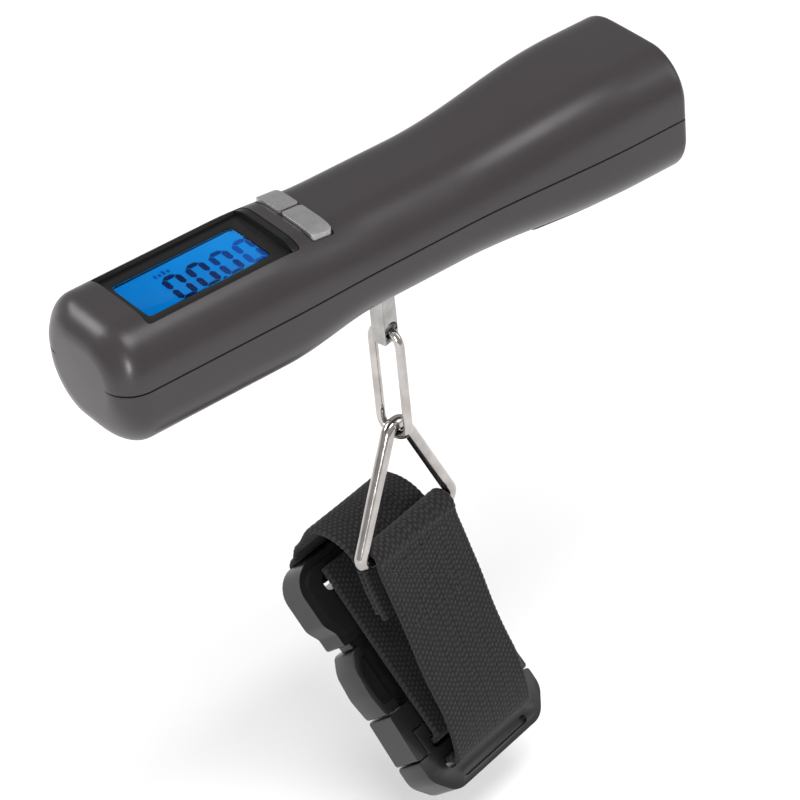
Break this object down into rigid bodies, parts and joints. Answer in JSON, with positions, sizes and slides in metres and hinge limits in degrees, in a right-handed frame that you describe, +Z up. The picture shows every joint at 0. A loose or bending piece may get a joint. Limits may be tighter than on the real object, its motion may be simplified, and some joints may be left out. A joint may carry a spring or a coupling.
{
  "type": "digital luggage scale",
  "caption": "Hand-held hanging scale: waisted grip with lit display and keys, swivelling post, chain link, triangular ring and a webbing sling with a side-release buckle.",
  "frame": {"origin": "on the axis of the suspension post, in the seam plane of the handle, inside the palm that holds it", "axes": "+X along the handle from the display end to the flared end, -Y the front side, +Z up"},
  "size_m": [0.1405, 0.051, 0.1533],
  "materials": {
    "casing": "satin graphite ABS",
    "bezel": "gloss black",
    "window": "clear acrylic window",
    "lcd": "blue backlit display",
    "diffuser": "white light guide",
    "board": "green solder mask",
    "switch": "stamped steel",
    "key": "silver painted",
    "alloy": "machined aluminium",
    "gauge": "amber film",
    "bracket": "dark zinc",
    "fastener": "plated steel",
    "post": "bare steel bar",
    "black_plastic": "satin black",
    "wire_metal": "bright nickel plate",
    "cell": "steel can",
    "spring_metal": "sprung contact",
    "lead": "insulated wire",
    "webbing": "black woven webbing",
    "buckle": "satin black acetal"
  },
  "bodies": {
    "handle": {"upper_shell": "casing", "lower_shell": "casing", "display_bezel": "bezel", "display_window": "window", "lcd_panel": "lcd", "backlight": "diffuser", "circuit_board": "board", "tact_switches": "switch", "load_cell": "alloy", "strain_gauges": "gauge", "cell_anchor": "bracket", "cell_screws": "fastener", "post_collar": "black_plastic", "post_washer": "fastener", "battery_tray": "black_plastic", "coin_battery": "cell", "battery_spring": "spring_metal", "battery_clip": "spring_metal", "case_screws": "fastener", "wiring": "lead"},
    "unit_key": {"unit_button": "key"},
    "zero_key": {"zero_button": "key"},
    "door": {"battery_door": "casing"},
    "post": {"suspension_post": "post", "post_nut": "fastener"},
    "link": {"chain_link": "wire_metal"},
    "ring": {"triangle_ring": "wire_metal"},
    "sling": {"sling_webbing": "webbing", "rear_webbing": "webbing", "buckle_frame": "buckle", "buckle_socket": "buckle"},
    "arm_left": {"release_arm_left": "buckle"},
    "arm_right": {"release_arm_right": "buckle"}
  },
  "joints": [
    {"name": "unit_press", "type": "slide", "parent": "handle", "child": "unit_key", "axis": [0, 0, -1], "range_m": [0, 0.0005], "stiffness_N_per_m": 300},
    {"name": "zero_press", "type": "slide", "parent": "handle", "child": "zero_key", "axis": [0, 0, -1], "range_m": [0, 0.0005], "stiffness_N_per_m": 300},
    {"name": "battery_door_off", "type": "slide", "parent": "handle", "child": "door", "axis": [0, 0, -1], "range_m": [0, 0.018]},
    {"name": "post_swivel", "type": "hinge", "parent": "handle", "child": "post", "pos_m": [0, 0, -0.0116], "axis": [0, 0, 1], "continuous": true},
    {"name": "link_swing", "type": "hinge", "parent": "post", "child": "link", "pos_m": [0, 0, -0.026], "axis": [-0.2079, 0.9781, 0], "range_deg": [-60, 60]},
    {"name": "ring_swing", "type": "hinge", "parent": "link", "child": "ring", "pos_m": [0, 0, -0.0507], "axis": [0.9781, 0.2079, 0], "range_deg": [-60, 60]},
    {"name": "sling_swing", "type": "hinge", "parent": "ring", "child": "sling", "pos_m": [0, 0, -0.0801], "axis": [0.9781, 0.2079, 0], "range_deg": [-40, 40]},
    {"name": "arm_left_squeeze", "type": "hinge", "parent": "sling", "child": "arm_left", "pos_m": [-0.00787, -0.00818, -0.12223], "axis": [0.1593, -0.7493, 0.6428], "range_deg": [-6, 0], "stiffness_Nm_per_rad": 1},
    {"name": "arm_right_squeeze", "type": "hinge", "parent": "sling", "child": "arm_right", "pos_m": [0.01052, -0.00427, -0.12223], "axis": [0.1593, -0.7493, 0.6428], "range_deg": [0, 6], "stiffness_Nm_per_rad": 1}
  ]
}
